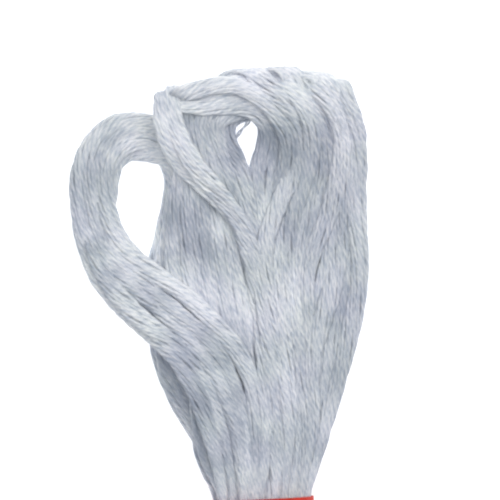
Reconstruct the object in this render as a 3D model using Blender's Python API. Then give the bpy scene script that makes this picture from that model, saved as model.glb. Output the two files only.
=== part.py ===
"""Skein of stranded embroidery cotton, lying flat, held by a paper band.

Sizes are in millimetres until a mesh is made, which is in metres. The skein lies along Y
with its fanned head at +Y, and Z is up. The origin is under the middle of the band, on the
surface that the skein lies on. One cotton thread goes round and round: every turn runs up
from the band, over the head and back, then down to the tail and back. The turns are built
here in groups that lie together, and all of them are fused into one solid.
"""

import math
from collections import namedtuple

import bmesh
import bpy
from mathutils import Vector

MM = 0.001

# Paper band
BAND_LENGTH = 26.0
BAND_WIDTH = 10.2
BAND_HEIGHT = 6.4
BAND_WALL = 0.3
BAND_CORNER = 2.4
BAND_CORNER_STEPS = 6
BAND_EDGE = BAND_LENGTH / 2

# Thread: one layer of the skein is one flattened six-ply thread thick, and every second
# column of threads stands a little proud of its neighbours
LAYER = 0.95
THREAD_HALF_HEIGHT = 0.52
LOOSE_HALF_WIDTH = 0.88
SQUEEZED_HALF_WIDTH = 0.46
SQUEEZE_REACH = 9.0
STAGGER = 0.25

# Tail, below the band: how far its threads sink and spread, and the nested turns at its end,
# where the gap is half the width of a turn
TAIL_END = -94.2
TAIL_SINK_REACH = 14.0
TAIL_SWAY = -1.6
TAIL_SWAY_REACH = 80.0
INNER_TURN_GAP = 1.4
OUTER_TURN_GAP = 6.7
INNER_TURN_LENGTH = 2.6
OUTER_TURN_LENGTH = 8.2
TURN_STEPS = 6

# Fusing
PATH_STEP = 0.9
TUBE_SIDES = 12
VOXEL = 0.34
HANK_TRIANGLES = 10500
CUTTER_SIZE = (60.0, 220.0, 10.0)

# Guides of a group of turns. Each row is one cross-section of the group, met in the order in
# which the thread runs: up from the band, over the head and down to the band again. It gives
# the thread at the group's outer edge, its middle and its inner edge, as x and rise above the
# band's upper edge, then the height of each above the surface. Fold is the angle, in degrees,
# through which the layers have turned over.
Row = namedtuple("Row", "outer middle inner heights fold")

MAIN_TURNS = [
    Row((-4.0, -13.0), (-2.2, -13.0), (-0.4, -13.0), (2.95, 2.95, 2.95), 0),
    Row((-4.0, 0.0), (-2.2, 0.0), (-0.4, 0.0), (2.95, 2.95, 2.95), 0),
    Row((-5.5, 3.0), (-2.8, 3.0), (-0.7, 3.0), (2.6, 2.6, 2.6), 0),
    Row((-6.2, 6.8), (-3.2, 6.8), (-0.9, 6.8), (2.2, 2.2, 2.2), 0),
    Row((-6.9, 12.3), (-3.7, 11.8), (-1.0, 11.8), (1.9, 1.9, 1.9), 0),
    Row((-8.3, 16.8), (-4.3, 16.8), (-1.1, 16.8), (1.8, 1.8, 1.8), 0),
    Row((-9.1, 21.3), (-4.9, 21.3), (-1.1, 21.8), (1.8, 1.8, 1.8), 0),
    Row((-9.2, 25.8), (-5.2, 25.8), (-1.1, 26.6), (1.8, 1.8, 1.8), 0),
    Row((-8.6, 29.8), (-5.2, 30.0), (-1.4, 30.6), (1.8, 1.8, 1.8), 0),
    Row((-7.9, 33.3), (-5.4, 33.3), (-2.3, 33.8), (1.8, 1.8, 1.8), 0),
    Row((-7.7, 36.0), (-5.7, 36.3), (-3.0, 36.2), (1.7, 1.7, 1.7), 0),
    Row((-7.6, 37.8), (-5.9, 38.6), (-2.6, 38.6), (1.8, 1.8, 1.8), 20),
    Row((-7.7, 39.0), (-5.8, 40.0), (-0.1, 40.6), (2.2, 2.2, 2.2), 50),
    Row((-7.3, 39.5), (-5.0, 40.8), (3.7, 41.3), (2.95, 2.95, 2.95), 90),
    Row((-6.1, 39.2), (-3.7, 40.8), (6.3, 41.2), (3.9, 3.9, 3.6), 140),
    Row((-4.1, 38.8), (-1.3, 40.1), (8.1, 40.2), (4.4, 4.4, 3.8), 180),
    Row((-1.5, 38.4), (1.2, 38.6), (9.1, 38.2), (4.3, 4.1, 3.4), 180),
    Row((0.3, 36.8), (3.0, 36.3), (9.5, 35.3), (3.8, 3.5, 2.8), 180),
    Row((0.5, 34.8), (4.0, 33.3), (9.5, 31.8), (3.2, 2.8, 2.2), 180),
    Row((-0.2, 32.6), (4.2, 29.8), (9.5, 27.8), (2.6, 2.2, 1.6), 180),
    Row((-0.4, 28.8), (4.3, 25.8), (9.5, 23.3), (2.1, 1.8, 1.4), 180),
    Row((0.0, 23.8), (4.6, 21.3), (9.3, 18.8), (1.8, 1.5, 1.38), 180),
    Row((0.4, 18.8), (4.8, 16.8), (8.4, 14.3), (1.6, 1.4, 1.38), 180),
    Row((0.6, 13.8), (4.6, 12.3), (7.4, 10.3), (1.7, 1.6, 1.5), 180),
    Row((0.7, 8.8), (3.8, 7.8), (6.2, 6.6), (2.1, 2.1, 2.1), 180),
    Row((0.5, 4.3), (2.9, 3.8), (4.9, 3.0), (2.6, 2.6, 2.6), 180),
    Row((0.4, 0.0), (2.2, 0.0), (4.0, 0.0), (2.95, 2.95, 2.95), 180),
    Row((0.4, -13.0), (2.2, -13.0), (4.0, -13.0), (2.95, 2.95, 2.95), 180),
]

# The turns that have slipped out to the left as a loose loop
LOOP_TURNS = [
    Row((-3.6, -13.0), (-2.0, -13.0), (-0.5, -13.0), (4.75, 4.75, 4.75), 0),
    Row((-3.6, 0.0), (-2.0, 0.0), (-0.5, 0.0), (4.75, 4.75, 4.75), 0),
    Row((-4.5, 3.0), (-2.7, 3.3), (-1.0, 3.6), (4.5, 4.5, 4.5), 0),
    Row((-5.5, 6.8), (-3.4, 7.3), (-1.5, 7.3), (4.1, 4.1, 4.1), 0),
    Row((-6.9, 10.3), (-4.6, 10.8), (-2.0, 11.0), (3.9, 3.9, 3.9), 0),
    Row((-8.8, 13.1), (-6.3, 14.0), (-2.8, 14.6), (3.8, 3.8, 3.8), 0),
    Row((-11.1, 15.2), (-8.5, 16.8), (-4.1, 17.6), (3.6, 3.6, 3.6), 0),
    Row((-13.5, 16.9), (-11.1, 19.1), (-6.3, 20.1), (3.4, 3.4, 3.4), 0),
    Row((-15.7, 19.0), (-13.5, 21.3), (-9.1, 22.1), (2.9, 2.9, 3.1), 0),
    Row((-17.1, 21.4), (-15.3, 23.6), (-11.8, 24.0), (2.3, 2.4, 2.8), 0),
    Row((-18.1, 24.3), (-16.5, 26.2), (-14.0, 26.0), (1.7, 1.7, 2.0), 0),
    Row((-18.7, 27.3), (-17.2, 28.6), (-15.2, 28.3), (1.2, 1.2, 1.3), 0),
    Row((-18.7, 30.3), (-17.2, 31.1), (-15.5, 30.8), (1.0, 1.0, 1.0), 0),
    Row((-18.2, 33.0), (-16.9, 33.8), (-15.4, 33.1), (0.9, 0.9, 0.9), 0),
    Row((-17.0, 35.5), (-15.8, 35.8), (-14.7, 34.6), (0.9, 0.9, 0.9), 0),
    Row((-15.3, 37.3), (-14.3, 36.7), (-13.3, 34.9), (0.9, 0.9, 0.9), 0),
    Row((-13.0, 37.8), (-12.5, 36.4), (-11.8, 34.7), (0.9, 0.9, 0.9), 0),
    Row((-10.8, 37.3), (-10.7, 35.7), (-10.5, 34.2), (0.9, 0.9, 0.9), 0),
    Row((-8.7, 36.3), (-9.2, 34.7), (-9.3, 33.1), (0.9, 0.9, 0.9), 0),
    Row((-7.5, 34.1), (-8.2, 32.8), (-8.7, 31.7), (0.9, 0.9, 0.9), 0),
    Row((-7.3, 30.5), (-8.2, 29.8), (-9.1, 29.3), (0.9, 0.9, 0.9), 0),
    Row((-7.9, 26.6), (-8.9, 26.0), (-10.0, 26.2), (0.9, 0.9, 0.9), 0),
    Row((-8.8, 22.1), (-9.8, 21.5), (-10.7, 22.6), (0.9, 0.9, 0.9), 0),
    Row((-9.0, 17.3), (-10.1, 16.7), (-10.8, 17.8), (0.9, 0.9, 0.9), 0),
    Row((-8.1, 12.8), (-9.3, 12.6), (-10.3, 13.3), (0.9, 0.9, 0.9), 0),
    Row((-6.2, 8.8), (-7.6, 8.6), (-8.7, 8.6), (0.95, 0.95, 0.95), 0),
    Row((-3.9, 4.8), (-5.3, 4.8), (-6.5, 4.8), (1.0, 1.0, 1.0), 0),
    Row((-2.2, 2.0), (-3.7, 2.0), (-4.9, 1.8), (1.1, 1.1, 1.1), 0),
    Row((-0.4, 0.0), (-1.9, 0.0), (-3.3, 0.0), (1.25, 1.25, 1.25), 0),
    Row((-0.4, -13.0), (-1.9, -13.0), (-3.3, -13.0), (1.25, 1.25, 1.25), 0),
]

# The two turns that fold over the head's left corner and cross down over its front
CROSSING_TURNS = [
    Row((0.5, -13.0), (1.0, -13.0), (1.5, -13.0), (1.25, 1.25, 1.25), 0),
    Row((0.5, 0.0), (1.0, 0.0), (1.5, 0.0), (1.25, 1.25, 1.25), 0),
    Row((-1.7, 3.8), (-0.9, 3.8), (0.0, 3.6), (1.0, 1.0, 1.0), 0),
    Row((-3.8, 8.8), (-2.3, 8.8), (-0.8, 8.8), (0.6, 0.6, 0.6), 0),
    Row((-5.8, 14.8), (-4.3, 14.8), (-2.8, 14.8), (0.42, 0.42, 0.42), 0),
    Row((-7.1, 20.8), (-6.0, 20.8), (-4.8, 20.8), (0.42, 0.42, 0.42), 0),
    Row((-7.9, 26.8), (-7.0, 26.8), (-6.0, 26.8), (0.42, 0.42, 0.42), 0),
    Row((-8.3, 31.8), (-7.6, 31.8), (-6.8, 31.8), (0.42, 0.42, 0.42), 0),
    Row((-8.8, 35.8), (-8.1, 35.8), (-7.4, 35.8), (0.6, 0.6, 0.6), 0),
    Row((-9.3, 38.6), (-8.6, 38.6), (-7.9, 38.6), (0.9, 0.9, 0.9), 20),
    Row((-9.5, 39.9), (-8.9, 40.0), (-8.2, 40.1), (2.0, 2.0, 2.0), 60),
    Row((-9.5, 40.3), (-8.9, 40.4), (-8.2, 40.5), (3.4, 3.4, 3.4), 90),
    Row((-9.5, 39.4), (-8.9, 39.5), (-8.2, 39.5), (4.8, 4.8, 4.8), 150),
    Row((-9.6, 37.8), (-8.9, 37.8), (-8.2, 37.8), (5.0, 5.0, 5.0), 180),
    Row((-9.5, 35.8), (-8.8, 35.9), (-8.1, 36.0), (4.9, 4.9, 4.9), 180),
    Row((-8.9, 33.6), (-8.2, 33.9), (-7.5, 34.2), (4.7, 4.7, 4.7), 180),
    Row((-7.5, 31.7), (-6.9, 32.1), (-6.3, 32.5), (4.6, 4.6, 4.6), 180),
    Row((-5.3, 30.1), (-4.9, 30.5), (-4.4, 30.8), (4.5, 4.5, 4.5), 180),
    Row((-3.0, 28.2), (-2.7, 28.6), (-2.3, 29.0), (4.3, 4.3, 4.3), 180),
    Row((-1.5, 25.9), (-1.2, 26.3), (-0.8, 26.6), (4.0, 4.0, 4.0), 180),
    Row((-0.7, 23.2), (-0.3, 23.4), (0.1, 23.6), (3.7, 3.7, 3.7), 180),
    Row((-0.1, 19.8), (0.3, 19.9), (0.7, 20.0), (3.5, 3.5, 3.5), 180),
    Row((0.6, 15.8), (1.0, 15.8), (1.5, 15.8), (3.5, 3.5, 3.5), 180),
    Row((1.1, 11.3), (1.6, 11.3), (2.1, 11.3), (3.6, 3.6, 3.6), 180),
    Row((1.1, 6.8), (1.6, 6.8), (2.2, 6.8), (4.0, 4.0, 4.0), 180),
    Row((0.8, 2.8), (1.4, 2.8), (2.0, 2.8), (4.5, 4.5, 4.5), 180),
    Row((0.6, 0.0), (1.3, 0.0), (1.9, 0.0), (4.75, 4.75, 4.75), 180),
    Row((0.6, -13.0), (1.3, -13.0), (1.9, -13.0), (4.75, 4.75, 4.75), 180),
]

# Where the layers of a fold turn outwards: up and a little to the left
FOLD_OUTWARD = Vector((-0.35, 0.94, 0.0)).normalized()

# A group's columns of threads: where each lies between the outer and inner edge (0 to 1), and
# how many layers of thread it has, in the band and outside it
Group = namedtuple("Group", "rows places banded_layers loose_layers")

HEAD_GROUPS = [
    Group(MAIN_TURNS, (0.0, 0.16, 0.31, 0.45, 0.58, 0.7, 0.8, 0.87, 0.935, 1.0), 3, 3),
    Group(LOOP_TURNS, (0.0, 0.25, 0.5, 0.75, 1.0), 1, 2),
    Group(CROSSING_TURNS, (0.0, 1.0), 1, 1),
]

# The tail's nested turns: how many, the first one's half gap and the spacing at the band,
# the height at the band and out in the tail, and the layers of thread in each
Nest = namedtuple("Nest", "count first_gap spacing band_height tail_height layers")

TAIL_NESTS = [
    Nest(6, 0.4, 0.72, 2.95, 2.35, 3),
    Nest(4, 0.5, 0.9, 4.75, 4.25, 1),
    Nest(4, 0.5, 0.9, 1.25, 0.42, 1),
]

# How far the tail's threads have spread towards their turns, at each distance along it
Spread = namedtuple("Spread", "y share")

TAIL_SPREADS = [
    Spread(0.0, 0.0),
    Spread(-13.0, 0.0),
    Spread(-22.0, 0.35),
    Spread(-36.0, 0.62),
    Spread(-54.0, 0.82),
    Spread(-70.0, 0.95),
]


def between(outer, middle, inner, place):
    """The value at place on the parabola through the three guides."""
    return (
        outer * (2 * (place - 0.5) * (place - 1))
        + middle * (4 * place * (1 - place))
        + inner * (2 * place * (place - 0.5))
    )


def head_points(rows, place):
    """(point, layer axis) at each row for the thread at place between the guides."""
    points = []
    for row in rows:
        x = between(row.outer[0], row.middle[0], row.inner[0], place)
        rise = between(row.outer[1], row.middle[1], row.inner[1], place)
        height = between(*row.heights, place)
        turn = math.radians(row.fold)
        axis = math.cos(turn) * Vector((0, 0, 1)) - math.sin(turn) * FOLD_OUTWARD
        points.append((Vector((x, BAND_EDGE + rise, height)), axis))
    return points


def tail_points(nest, index):
    """(point, layer axis) down one side of a nested tail turn, round its end and back."""
    gap = nest.first_gap + nest.spacing * index
    outward = index / (nest.count - 1)
    turn_gap = INNER_TURN_GAP + (OUTER_TURN_GAP - INNER_TURN_GAP) * outward
    turn_length = INNER_TURN_LENGTH + (OUTER_TURN_LENGTH - INNER_TURN_LENGTH) * outward
    turn_start = TAIL_END + OUTER_TURN_LENGTH
    side = [(gap + (turn_gap - gap) * spread.share, spread.y) for spread in TAIL_SPREADS]
    for step in range(TURN_STEPS + 1):
        angle = math.pi / 2 * step / TURN_STEPS
        side.append((turn_gap * math.cos(angle), turn_start - turn_length * math.sin(angle)))
    other_side = [(-x, y) for x, y in reversed(side[:-1])]
    points = []
    for x, y in side + other_side:
        below = max(0.0, -y - BAND_EDGE)
        sunk = min(1.0, below / TAIL_SINK_REACH)
        height = nest.band_height + (nest.tail_height - nest.band_height) * sunk
        sway = TAIL_SWAY * (below / TAIL_SWAY_REACH) ** 2
        points.append((Vector((x + sway, y, height)), Vector((0, 0, 1))))
    return points


def catmull_rom(p0, p1, p2, p3, t):
    """A point between p1 and p2 on the uniform Catmull-Rom curve."""
    return 0.5 * (
        2 * p1
        + (p2 - p0) * t
        + (2 * p0 - 5 * p1 + 4 * p2 - p3) * t * t
        + (3 * p1 - p0 - 3 * p2 + p3) * t * t * t
    )


def smooth_path(points):
    """The points joined by a smooth curve, about PATH_STEP apart, as (point, axis) pairs."""
    padded = [points[0], *points, points[-1]]
    path = []
    for i in range(1, len(padded) - 2):
        around = padded[i - 1 : i + 3]
        length = (around[2][0] - around[1][0]).length
        steps = max(1, round(length / PATH_STEP))
        for step in range(steps):
            t = step / steps
            point = catmull_rom(*(p for p, _ in around), t)
            axis = around[1][1].lerp(around[2][1], t).normalized()
            path.append((point, axis))
    path.append(points[-1])
    return path


def looseness(y):
    """How far a thread has spread: 0 in the band, and 1 well beyond it."""
    beyond = max(0.0, abs(y) - BAND_EDGE)
    return min(1.0, beyond / SQUEEZE_REACH)


def add_tube(bm, path, banded_layers, loose_layers, stagger):
    """Sweeps an oval section along the path, its height along the layer axis."""
    rings = []
    for i, (point, axis) in enumerate(path):
        before = path[max(i - 1, 0)][0]
        after = path[min(i + 1, len(path) - 1)][0]
        tangent = (after - before).normalized()
        side = tangent.cross(axis).normalized()
        up = side.cross(tangent)
        loose = looseness(point.y)
        layers = banded_layers + (loose_layers - banded_layers) * loose
        half_height = THREAD_HALF_HEIGHT + LAYER * (layers - 1) / 2
        half_width = SQUEEZED_HALF_WIDTH + (LOOSE_HALF_WIDTH - SQUEEZED_HALF_WIDTH) * loose
        middle = point + axis * (stagger * loose)
        ring = []
        for k in range(TUBE_SIDES):
            angle = 2 * math.pi * k / TUBE_SIDES
            offset = side * (half_width * math.cos(angle)) + up * (half_height * math.sin(angle))
            ring.append(bm.verts.new((middle + offset) * MM))
        rings.append(ring)
    for ring, following in zip(rings, rings[1:]):
        for k in range(TUBE_SIDES):
            after = (k + 1) % TUBE_SIDES
            bm.faces.new((ring[k], ring[after], following[after], following[k]))
    bm.faces.new(reversed(rings[0]))
    bm.faces.new(rings[-1])


def outer_skin(mesh):
    """Leaves only the mesh's largest shell, so that no sealed gap stays inside."""
    bm = bmesh.new()
    bm.from_mesh(mesh)
    shells = []
    unseen = set(bm.verts)
    while unseen:
        shell = set()
        reached = [unseen.pop()]
        while reached:
            vert = reached.pop()
            shell.add(vert)
            for edge in vert.link_edges:
                other = edge.other_vert(vert)
                if other in unseen:
                    unseen.remove(other)
                    reached.append(other)
        shells.append(shell)
    shells.sort(key=len)
    for shell in shells[:-1]:
        bmesh.ops.delete(bm, geom=list(shell), context="VERTS")
    bm.to_mesh(mesh)
    bm.free()


def evaluated_mesh(obj):
    """The object's mesh with its modifiers applied."""
    graph = bpy.context.evaluated_depsgraph_get()
    return bpy.data.meshes.new_from_object(obj.evaluated_get(graph))


def material(name, colour, roughness):
    """A plain Principled material."""
    made = bpy.data.materials.new(name)
    made.use_nodes = True
    shader = made.node_tree.nodes["Principled BSDF"]
    shader.inputs["Base Color"].default_value = (*colour, 1.0)
    shader.inputs["Roughness"].default_value = roughness
    return made


def add_object(name, bm):
    """Links a new object that holds the bmesh."""
    mesh = bpy.data.meshes.new(name)
    bmesh.ops.recalc_face_normals(bm, faces=bm.faces)
    bm.to_mesh(mesh)
    bm.free()
    obj = bpy.data.objects.new(name, mesh)
    bpy.context.scene.collection.objects.link(obj)
    return obj


def build_surface_cutter():
    """A block below the surface, which flattens what the skein lies on."""
    depth = CUTTER_SIZE[2]
    bm = bmesh.new()
    bmesh.ops.create_cube(bm, size=1.0)
    bmesh.ops.scale(bm, verts=bm.verts, vec=Vector(CUTTER_SIZE) * MM)
    bmesh.ops.translate(bm, verts=bm.verts, vec=Vector((0, TAIL_END / 4, -depth / 2)) * MM)
    cutter = add_object("surface_cutter", bm)
    cutter.hide_render = True
    cutter.display_type = "WIRE"
    return cutter


def build_hank(cutter):
    """All the turns fused into one solid, flat where it lies on the surface."""
    bm = bmesh.new()
    for group in HEAD_GROUPS:
        for index, place in enumerate(group.places):
            path = smooth_path(head_points(group.rows, place))
            stagger = -STAGGER if index % 2 == 0 else STAGGER
            add_tube(bm, path, group.banded_layers, group.loose_layers, stagger)
    for nest in TAIL_NESTS:
        for index in range(nest.count):
            path = smooth_path(tail_points(nest, index))
            stagger = -STAGGER if index % 2 == 0 else STAGGER
            add_tube(bm, path, nest.layers, nest.layers, stagger)
    hank = add_object("hank", bm)
    remesh = hank.modifiers.new("fuse", "REMESH")
    remesh.mode = "VOXEL"
    remesh.voxel_size = VOXEL * MM
    fused = evaluated_mesh(hank)
    hank.modifiers.clear()
    outer_skin(fused)
    hank.data = fused
    triangles = 2 * len(fused.polygons)
    thin_out = hank.modifiers.new("thin_out", "DECIMATE")
    thin_out.ratio = HANK_TRIANGLES / triangles
    flatten = hank.modifiers.new("flatten", "BOOLEAN")
    flatten.operation = "DIFFERENCE"
    flatten.solver = "EXACT"
    flatten.object = cutter
    fused.shade_smooth()
    hank.data.materials.append(material("cotton", (0.75, 0.78, 0.84), 0.55))
    return hank


def band_outline(inset):
    """A rounded rectangle standing on the surface, counter-clockwise in x and z."""
    half_width = BAND_WIDTH / 2 - inset
    bottom, top = inset, BAND_HEIGHT - inset
    radius = BAND_CORNER - inset
    corners = [
        (half_width - radius, top - radius, 0),
        (-half_width + radius, top - radius, 90),
        (-half_width + radius, bottom + radius, 180),
        (half_width - radius, bottom + radius, 270),
    ]
    outline = []
    for x, z, start in corners:
        for step in range(BAND_CORNER_STEPS + 1):
            angle = math.radians(start + 90 * step / BAND_CORNER_STEPS)
            outline.append((x + radius * math.cos(angle), z + radius * math.sin(angle)))
    return outline


def build_band():
    """The paper band, a sleeve round the hank."""
    bm = bmesh.new()
    loops = {}
    for inset in (0.0, BAND_WALL):
        for y in (-BAND_EDGE, BAND_EDGE):
            loops[inset, y] = [
                bm.verts.new(Vector((x, y, z)) * MM) for x, z in band_outline(inset)
            ]
    count = len(loops[0.0, BAND_EDGE])
    around = [
        loops[0.0, -BAND_EDGE],
        loops[0.0, BAND_EDGE],
        loops[BAND_WALL, BAND_EDGE],
        loops[BAND_WALL, -BAND_EDGE],
    ]
    for first, second in zip(around, around[1:] + around[:1]):
        for k in range(count):
            after = (k + 1) % count
            bm.faces.new((first[k], first[after], second[after], second[k]))
    band = add_object("paper_band", bm)
    band.data.materials.append(material("red_paper", (0.60, 0.04, 0.03), 0.45))
    return band


def main():
    for obj in list(bpy.data.objects):
        bpy.data.objects.remove(obj)
    cutter = build_surface_cutter()
    build_hank(cutter)
    build_band()


main()
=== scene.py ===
# Skein of six-ply embroidery floss in a red paper band, seen from straight above.
# Lengths are in millimetres until a mesh is made.

import math
import random
from functools import partial

import bmesh
import bpy
import numpy as np
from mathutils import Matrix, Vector


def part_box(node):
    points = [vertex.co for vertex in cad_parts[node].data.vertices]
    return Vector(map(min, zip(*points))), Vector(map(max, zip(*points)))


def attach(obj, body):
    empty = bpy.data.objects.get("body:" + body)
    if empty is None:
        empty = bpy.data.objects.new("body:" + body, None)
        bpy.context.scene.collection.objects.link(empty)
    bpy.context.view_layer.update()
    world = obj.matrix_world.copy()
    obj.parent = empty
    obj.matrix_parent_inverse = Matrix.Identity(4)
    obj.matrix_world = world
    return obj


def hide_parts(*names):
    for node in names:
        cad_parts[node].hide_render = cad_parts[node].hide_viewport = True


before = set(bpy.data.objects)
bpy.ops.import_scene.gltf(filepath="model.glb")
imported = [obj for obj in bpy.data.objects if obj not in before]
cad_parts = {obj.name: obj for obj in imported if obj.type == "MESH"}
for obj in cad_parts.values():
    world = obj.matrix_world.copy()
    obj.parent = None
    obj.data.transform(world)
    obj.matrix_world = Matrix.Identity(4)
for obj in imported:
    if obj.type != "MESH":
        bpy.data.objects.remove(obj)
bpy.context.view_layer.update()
mm = 0.001

bandLow, bandHigh = (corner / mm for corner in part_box("paper_band"))
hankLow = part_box("hank")[0] / mm
bandEdge = bandHigh.y


# Fronts: the way each thread takes over the front of the head, down to the band. Their points
# were picked in the photo, as (column, row) of its pixels.
photoPixels = {"perMillimetre": 10, "middleColumn": 263, "bandEdgeRow": 498}

# how high the threads lie, as (rise above the band, height)
headHeights = [(-1, 4.3), (0, 4.3), (4, 4.0), (8, 3.65), (12, 3.35), (16, 3.05), (20, 2.75), (24, 2.5),
               (27, 2.4), (30, 2.45), (33, 2.95), (35.5, 3.8), (38, 4.85), (40, 5.2), (44, 5.2)]
loopHeights = [(0, 4.75), (3, 4.5), (7, 4.1), (10.5, 3.8), (13.5, 3.6), (16.5, 3.35), (19, 3.2), (21, 2.95),
               (23.6, 2.4), (26, 1.8), (28.6, 1.3), (31, 1.1), (50, 1.1)]
# how far the loop's points are moved from where they were picked, as (row, pixels)
loopShift = [(200, 0), (235, -3), (265, -5), (320, -5), (345, -2), (498, -2)]

# The main threads: where each crosses the head's top edge, its points from there on, and how
# much higher or lower than the head's heights it lies, as (row, height).
mainPicks = [
    ((172, 98),
     [(184, 101), (195, 104), (222, 104), (239, 101), (255, 103), (266, 110), (271, 123),
      (270, 137), (257, 161), (254, 178), (255, 203), (260, 228), (262, 275), (260, 330),
      (264, 400), (265, 450), (262, 498)],
     [(90, -0.5), (125, -0.4), (170, -0.1), (230, 0.1), (300, -0.2), (330, -0.2), (400, -0.3),
      (498, -0.1)]),
    ((174, 97),
     [(186, 98), (242, 98), (271, 109), (282, 138), (273, 176), (267, 217), (276, 320), (278, 450),
      (276, 498)],
     [(90, -0.7), (105, -0.5), (120, -0.6), (180, -0.4), (230, -0.1), (300, -0.6), (498, -0.8)]),
    ((181, 97),
     [(190, 94), (208, 87), (233, 83), (246, 86), (271, 102), (290, 129), (292, 147), (283, 181),
      (271, 199), (269, 219), (272, 262), (278, 310), (278, 332), (269, 368), (270, 420),
      (268, 498)],
     [(80, 0.0), (170, 0.0), (215, -0.5), (300, -0.5), (340, -0.2), (390, -0.4), (498, -0.3)]),
    ((246, 71),
     [(261, 80), (273, 88), (295, 110), (304, 140), (295, 172), (285, 189), (266, 235), (260, 270),
      (263, 310), (274, 375), (277, 430), (274, 498)],
     [(76, 0.0), (180, 0.1), (215, 0.35), (260, 0.25), (330, 0.2), (400, 0.1), (498, 0.3)]),
    ((270, 69),
     [(284, 82), (303, 98), (315, 125), (316, 142), (303, 185), (288, 228), (279, 280), (280, 320),
      (291, 410), (283, 498)],
     [(76, 0.0), (300, 0.0), (498, 0.2)]),
    ((287, 68),
     [(300, 92), (319, 115), (325, 132), (324, 172), (316, 212), (294, 285), (298, 365),
      (299, 440), (290, 498)],
     [(84, -0.3), (200, -0.3), (235, -0.1), (498, 0.0)]),
    ((303, 76),
     [(310, 85), (320, 91), (337, 113), (343, 143), (341, 170), (334, 198), (332, 212), (313, 257),
      (302, 335), (307, 420), (296, 498)],
     [(80, 0.0), (260, 0.0), (320, -0.2), (380, -0.6), (498, -0.7)]),
    ((320, 73),
     [(330, 93), (341, 104), (347, 118), (351, 152), (345, 202), (339, 258), (331, 296),
      (311, 355), (308, 375), (309, 420), (299, 498)],
     [(85, -0.5), (150, -0.4), (190, -0.1), (498, 0.0)]),
    ((332, 81),
     [(340, 93), (348, 105), (359, 131), (360, 166), (357, 184), (359, 222), (360, 262),
      (355, 302), (339, 383), (309, 475), (303, 498)],
     [(85, 0.0), (498, -0.3)]),
]

# The loop's threads run from the band out round it. Their points, and how much higher or lower
# they lie than the loop's heights.
loopPicks = [
    ([(226, 498), (222, 472), (209, 423), (197, 382), (172, 347), (143, 322), (116, 295),
      (97, 263), (77, 195), (80, 161), (96, 132), (122, 118), (152, 123)],
     [(0, 0.35), (215, 0.3), (250, -0.4), (300, -0.3), (340, 0.3), (400, 0.2), (498, 0.0)]),
    ([(234, 498), (228, 447), (213, 402), (192, 366), (178, 350), (148, 322), (110, 279),
      (96, 247), (86, 212), (85, 178), (94, 148), (103, 136), (115, 129), (130, 127), (145, 129)],
     [(0, -0.4), (215, -0.2), (250, 0.3), (300, 0.4), (340, 0.2), (400, -0.1), (498, -0.2)]),
    ([(241, 498), (236, 447), (220, 404), (209, 386), (186, 348), (133, 302), (103, 271),
      (87, 233), (85, 215), (87, 196), (94, 180), (97, 165), (103, 153), (113, 144), (127, 140),
      (143, 141)],
     [(0, -0.5), (215, -0.6), (240, -1.1), (300, -1.3), (340, -1.1), (400, -0.6), (498, -0.4)]),
    ([(247, 498), (246, 472), (238, 424), (230, 402), (223, 382), (200, 346), (140, 286),
      (114, 260), (98, 231), (91, 180), (100, 150), (121, 132), (151, 132)],
     [(0, 0.4), (285, 0.1), (310, -0.2), (350, -0.2), (400, 0.1), (498, 0.1)]),
    ([(251, 498), (249, 447), (240, 402), (223, 360), (211, 339), (176, 306), (127, 269),
      (108, 241), (105, 226), (107, 193), (107, 177), (114, 155), (123, 147), (150, 150)],
     [(0, -0.4), (240, 0.1), (285, 0.2), (310, 0.1), (340, 0.0), (400, 0.0), (498, 0.0)]),
    ([(256, 498), (256, 397), (240, 350), (224, 328), (186, 290), (146, 263), (118, 236),
      (101, 190), (104, 161), (122, 142), (138, 138), (152, 141)],
     [(0, 0.3), (240, 0.4), (300, 0.4), (330, 0.1), (400, 0.0), (498, 0.1)]),
]

# the crossing threads' points with their heights
crossingPicks = [
    [(163, 95, 4.7), (161, 112, 5.0), (164, 141, 4.7), (182, 170, 4.0), (227, 206, 3.5),
     (247, 236, 3.1), (262, 310, 2.7), (266, 330, 3.0), (269, 375, 3.4), (268, 430, 3.9),
     (260, 498, 4.6)],
    [(173, 95, 4.7), (171, 112, 5.0), (173, 126, 5.0), (187, 153, 5.1), (191, 165, 4.7),
     (214, 189, 4.0), (240, 217, 3.6), (254, 250, 3.3), (258, 268, 3.3), (266, 308, 2.4),
     (275, 352, 2.5), (278, 400, 2.9), (275, 460, 4.0), (271, 498, 4.4)],
]


# the value at this place, from (place, value) steps
def valueAt(place, steps):
    places, values = zip(*steps)
    return float(np.interp(place, places, values))


# a pixel's x and rise above the band
def fromPixel(column, row):
    aside, up = column - photoPixels["middleColumn"], photoPixels["bandEdgeRow"] - row
    return round(aside / photoPixels["perMillimetre"], 1), round(up / photoPixels["perMillimetre"], 1)


# a front's points as (x, rise above the band, height)
def frontFrom(points, heights, lifts, shift=((0, 0),)):
    front = []
    for column, row in points:
        x, rise = fromPixel(column + valueAt(row, shift), row)
        front.append((x, rise, round(valueAt(rise, heights) + valueAt(row, lifts), 1)))
    return front


mainFronts = [[fromPixel(*apex)] + frontFrom(points, headHeights, lifts)
              for apex, points, lifts in mainPicks]
loopFronts = [frontFrom(points, loopHeights, lifts, loopShift) for points, lifts in loopPicks]
crossingFronts = [[(*fromPixel(*point[:2]), point[2]) for point in way] for way in crossingPicks]

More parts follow.
